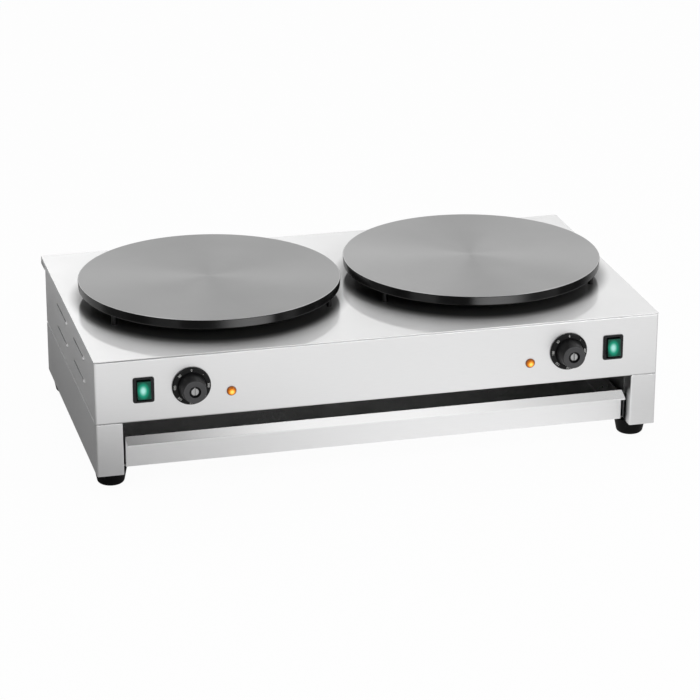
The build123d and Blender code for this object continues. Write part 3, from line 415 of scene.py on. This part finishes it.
COVER_STEEL = cover_sheet()
PANEL_SHEET = stainless("panel_sheet", "Z", 0.79, 0.3, 0.45)
FRAME_SHEET = stainless("frame_sheet", "Z", 0.77, 0.28, 0.45)
DRAWER_SHEET = drawer_sheet()
TRAY_SHEET = stainless("tray_sheet", "X", 0.62, 0.25, 0.45)
BLACK_PLASTIC = moulded("black_plastic", (0.016, 0.016, 0.017), 0.42, 0.4)
KNOB_PLASTIC = knob_plastic()
BEZEL_PLASTIC = moulded("bezel_plastic", (0.006, 0.006, 0.007), 0.3, 0.3)
RUBBER = moulded("black_rubber", (0.003, 0.003, 0.003), 0.6, 0.1, 900.0, 0.05)
NYLON = moulded("nylon", (0.8, 0.79, 0.74), 0.45)
STEATITE = moulded("steatite", (0.85, 0.83, 0.78), 0.3)
HOLDER = moulded("lamp_holder", (0.22, 0.07, 0.015), 0.3)
ZINC = plated("zinc_plate", (0.66, 0.67, 0.68), 0.34)
STUD_STEEL = plated("blackened_stud", (0.03, 0.03, 0.03), 0.4)
NICKEL = plated("nickel_plate", (0.4, 0.4, 0.4), 0.3)
COPPER = plated("drawn_copper", (0.72, 0.42, 0.28), 0.3)
PAN = heat_darkened("blackened_pan", (0.012, 0.012, 0.012), (0.03, 0.026, 0.022))
SHEATH = heat_darkened("element_sheath", (0.08, 0.075, 0.07), (0.16, 0.1, 0.07))
FELT = felt()
GREEN_LENS = lit_rocker()
AMBER_LENS = lit_pilot()
DIAL_PRINT = printed_white()

FINISHES = {
    COVER_STEEL: ["top_cover"],
    PANEL_SHEET: ["front_panel", *both("side_panel"), "rear_panel", "housing_floor"],
    FRAME_SHEET: [*both("base_frame"), *both("drawer_guide"), "rear_base_panel"],
    DRAWER_SHEET: ["drawer_front"],
    TRAY_SHEET: ["drawer_tray"],
    PAN: [*both("heat_pan"), *both("element_clamp")],
    SHEATH: both("heating_element"),
    FELT: both("insulation"),
    STUD_STEEL: ["plate_studs"],
    ZINC: [
        "stud_nuts",
        "clamp_bolts",
        "thermostat_nuts",
        "frame_bolts",
        "rear_screws",
        "foot_screws",
        "foot_nuts",
        *both("thermostat"),
        *both("thermostat_shaft"),
    ],
    NICKEL: both("knob_collet"),
    COPPER: both("temperature_sensor"),
    KNOB_PLASTIC: both("knob"),
    BLACK_PLASTIC: ["cable_gland", "gland_nut"],
    BEZEL_PLASTIC: both("switch_housing"),
    RUBBER: ["front_left_foot", "front_right_foot", "rear_left_foot", "rear_right_foot"],
    NYLON: ["drawer_glides", "drawer_stops"],
    STEATITE: ["terminal_block"],
    HOLDER: both("pilot_body"),
    GREEN_LENS: both("rocker"),
    AMBER_LENS: both("pilot_lens"),
}
# Both plates are the same iron; the left plate's lower share of grey is painted shade.
PLATES = {  # share of the usual level of grey, and lean of the normal towards +X
    "left": (0.83, -0.01),
    "right": (0.98, 0.045),
}


def paint(node_name, material):
    """Gives a CAD node one material."""
    slots = nodes[node_name].data.materials
    slots.clear()
    slots.append(material)


for material, node_names in FINISHES.items():
    for node_name in node_names:
        paint(node_name, material)
for side, (painted_light_share, lean) in PLATES.items():
    paint(side + "_griddle_plate", cast_plate(side, painted_light_share, lean))


# ---- Dial scales --------------------------------------------------------------------------------

SKIRT_OUTER = 27.4 * MM  # where the skirt's sloping face ends
SKIRT_INNER = 22.4 * MM  # where the groove round the grip begins
SKIRT_LOW = 4.0 * MM  # its height ahead of the panel at those two radii
SKIRT_HIGH = 4.6 * MM
SCALE_RADIUS = 24.9 * MM
SCALE_STEP = 45.0  # degrees between two marks
SCALE_TEXT = ("0", "50", "100", "150", "200", "250", "300", "-")
TEXT_SIZE = 4.86 * MM
PRINT_THICKNESS = 0.06 * MM


def joint_place(name):
    """Where a joint's axis passes, from the frame."""
    return next(Vector(joint["pos_m"]) for joint in frame["joints"] if joint["name"] == name)


def skirt_height(radius):
    """Height of the skirt's sloping face at a radius."""
    share = (radius - SKIRT_INNER) / (SKIRT_OUTER - SKIRT_INNER)
    return SKIRT_HIGH + share * (SKIRT_LOW - SKIRT_HIGH)


def text_mesh(text):
    """Flat mesh of a short text, centred, reading along X with Z up."""
    curve = bpy.data.curves.new("text_" + text, "FONT")
    curve.body = text
    curve.size = TEXT_SIZE
    curve.align_x = "CENTER"
    curve.align_y = "CENTER"
    curve.extrude = PRINT_THICKNESS / 2
    curve.resolution_u = 4
    holder = bpy.data.objects.new("text_" + text, curve)
    mesh = bpy.data.meshes.new_from_object(holder)
    bpy.data.objects.remove(holder)
    mesh.transform(Matrix.Rotation(math.radians(90), 4, "X"))
    return mesh


def dial_number(side, index, text):
    """One number of the scale, printed on the skirt with its foot towards the knob's axis."""
    axis = joint_place(side + "_knob_turn")
    mesh = text_mesh(text)
    turn = Matrix.Rotation(math.radians(-index * SCALE_STEP), 4, "Y")
    mesh.transform(turn @ Matrix.Translation((0, 0, SCALE_RADIUS)))
    for vertex in mesh.vertices:
        radius = math.hypot(vertex.co.x, vertex.co.z)
        vertex.co.y -= skirt_height(radius) + PRINT_THICKNESS / 2
    mesh.transform(Matrix.Translation(axis))
    mesh.materials.append(DIAL_PRINT)
    number = bpy.data.objects.new(f"{side}_dial_mark_{index}", mesh)
    bpy.context.scene.collection.objects.link(number)
    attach(number, side + "_control")


for side in SIDES:
    for index, text in enumerate(SCALE_TEXT):
        dial_number(side, index, text)


# ---- Studio -------------------------------------------------------------------------------------

CAMERA_PLACE = Vector((-1.04712, -4.07499, 1.68653))
CAMERA_TARGET = Vector((0.01377, 0.0145, 0.09211))
CAMERA_ROLL = 0.111  # degrees, counter-clockwise
CAMERA_LENS = 148.807
SENSOR_WIDTH = 36.0
FLOOR_SIZE = 12.0
LIT_MIDDLE = (0, 0, 0.1)  # where the softboxes aim
SOFTBOXES = {  # place, side of the square and power in watts
    "key": ((1.9, -1.2, 2.0), 1.4, 18),
    "left_fill": ((-1.8, -1.4, 1.8), 1.2, 8),
}
LAMPS_SEEN = {  # direction: cosines of the bright core and of the soft edge, and level
    (0.28, -0.87, 0.39): (0.99, 0.955, 5.2),
    (-0.44, -0.02, 0.90): (0.975, 0.90, 1.6),
    (-0.20, -0.37, 0.91): (0.985, 0.95, 1.5),
}
WALL_LOW = (1.45, 1.05)  # levels of the wall behind: straight behind, and to the right of that
WALL_HIGH = (1.9, 1.2)
WALL_LEFT = 0.8
FRONT_LEVELS = (1.0, 0.06)  # of the side before the object: near the floor, and above
SIDE_LEVEL = 0.08  # of the low ends of the room, left and right
CAMERA_WHITE = 0.96  # share of plain white in the floor that the camera sees; the rest is lit


def add_camera():
    data = bpy.data.cameras.new("camera")
    data.lens = CAMERA_LENS
    data.sensor_width = SENSOR_WIDTH
    camera = bpy.data.objects.new("camera", data)
    camera.location = CAMERA_PLACE
    level = (CAMERA_TARGET - CAMERA_PLACE).to_track_quat("-Z", "Y")
    roll = Quaternion((0, 0, 1), math.radians(CAMERA_ROLL))
    camera.rotation_euler = (level @ roll).to_euler()
    bpy.context.scene.collection.objects.link(camera)
    bpy.context.scene.camera = camera


def add_softbox(name, place, size, power):
    """A square area lamp aimed at the object."""
    data = bpy.data.lights.new(name, "AREA")
    data.shape = "SQUARE"
    data.size = size
    data.energy = power
    lamp = bpy.data.objects.new(name, data)
    lamp.location = place
    lamp.rotation_euler = (Vector(LIT_MIDDLE) - Vector(place)).to_track_quat("-Z", "Y").to_euler()
    bpy.context.scene.collection.objects.link(lamp)


def add_world():
    """White to the camera. Metal sees a pale room with three lamps. Its wall behind is brightest
    straight behind the object and high up, and the side before the object only near the floor.
    The low ends of the room and its ceiling are dark."""
    world = bpy.data.worlds.new("studio")
    bpy.context.scene.world = world
    world.use_nodes = True
    world.node_tree.nodes.clear()
    room = NodeTree(world.node_tree)
    direction = room.place("Generated")
    x, y, z = (room.axis(direction, name) for name in "XYZ")
    aside = room.math("DIVIDE", x, room.largest(y, 0.05))
    low = room.between(aside, 0.12, 0.40, *WALL_LOW)
    high = room.between(aside, 0.12, 0.40, *WALL_HIGH)
    middle = room.blend(room.between(z, 0.5, 0.66), low, high)
    behind = room.blend(room.between(aside, -0.2, 0.1), WALL_LEFT, middle)
    before = room.between(z, 0.08, 0.3, *FRONT_LEVELS)
    walls = room.blend(room.between(y, -0.1, 0.15), before, behind)
    ends = room.between(room.math("ABSOLUTE", x), 0.86, 0.94)
    walls = room.blend(room.product(ends, room.between(z, 0.15, 0.35, 1.0, 0.0)), walls, SIDE_LEVEL)
    level = room.product(walls, room.between(z, 0.9, 0.975, 1.0, 0.0))
    for lamp, (core, edge, strength) in LAMPS_SEEN.items():
        towards = room.vector("DOT_PRODUCT", direction, lamp, output="Value")
        level = room.largest(level, room.between(towards, edge, core, 0.0, strength))
    seen = room.node("Background", {"Color": (1, 1, 1, 1), "Strength": 1.0})
    lighting = room.node("Background", {"Color": (0.8, 0.8, 0.8, 1), "Strength": level})
    camera_path = room.node("LightPath", {}, "Is Camera Ray")
    surface = room.node("MixShader", {0: camera_path, 1: lighting, 2: seen})
    room.node("OutputWorld", {"Surface": surface}, None)


def floor_material():
    """White to the camera with a trace of shadow. Metal sees it dim in three places, painted shade
    round the object: before it, and beside it on the left and on the right."""
    finish = Finish("studio_floor", grey(0.9), 0.9)
    x, y = (finish.axis(finish.place(), name) for name in "XY")
    # painted shade seen in reflections: the floor's glow is dimmed before the object and beside it
    on_left = finish.between(x, -0.6, 0.15, 0.75, 0.0)
    on_right = finish.between(x, 0.25, 0.5, 0.0, 0.3)
    before = finish.product(
        finish.largest(on_left, on_right),
        finish.between(y, -0.6, -0.4),
        finish.between(x, -1.0, -0.6),
    )
    left = finish.product(
        finish.between(x, -1.0, -0.62),
        finish.between(x, -0.42, -0.36, 0.8, 0.0),
        finish.between(y, -0.3, -0.2),
    )
    right = finish.product(
        finish.between(x, 0.75, 1.15),
        finish.between(y, -0.45, -0.25),
        finish.between(y, 0.3, 0.7, 0.9, 0.0),
    )
    level = finish.math("SUBTRACT", 1.0, finish.largest(before, left, right))
    white = finish.node("Emission", {"Strength": 1.0})
    mirrored = finish.node("Emission", {"Strength": level})
    camera_share = finish.product(finish.node("LightPath", {}, "Is Camera Ray"), CAMERA_WHITE)
    seen = finish.node("MixShader", {0: camera_share, 1: finish.shader.outputs[0], 2: white})
    glossy_path = finish.node("LightPath", {}, "Is Glossy Ray")
    surface = finish.node("MixShader", {0: glossy_path, 1: seen, 2: mirrored})
    finish.set(finish.tree.nodes["Material Output"], {"Surface": surface})
    return finish.material


def add_floor():
    half = FLOOR_SIZE / 2
    corners = [(-half, -half, 0), (half, -half, 0), (half, half, 0), (-half, half, 0)]
    mesh = bpy.data.meshes.new("floor")
    mesh.from_pydata(corners, [], [(0, 1, 2, 3)])
    mesh.materials.append(floor_material())
    floor = bpy.data.objects.new("floor", mesh)
    bpy.context.scene.collection.objects.link(floor)


add_camera()
add_world()
add_floor()
for name, softbox in SOFTBOXES.items():
    add_softbox(name, *softbox)
bpy.context.scene.view_settings.view_transform = "Standard"
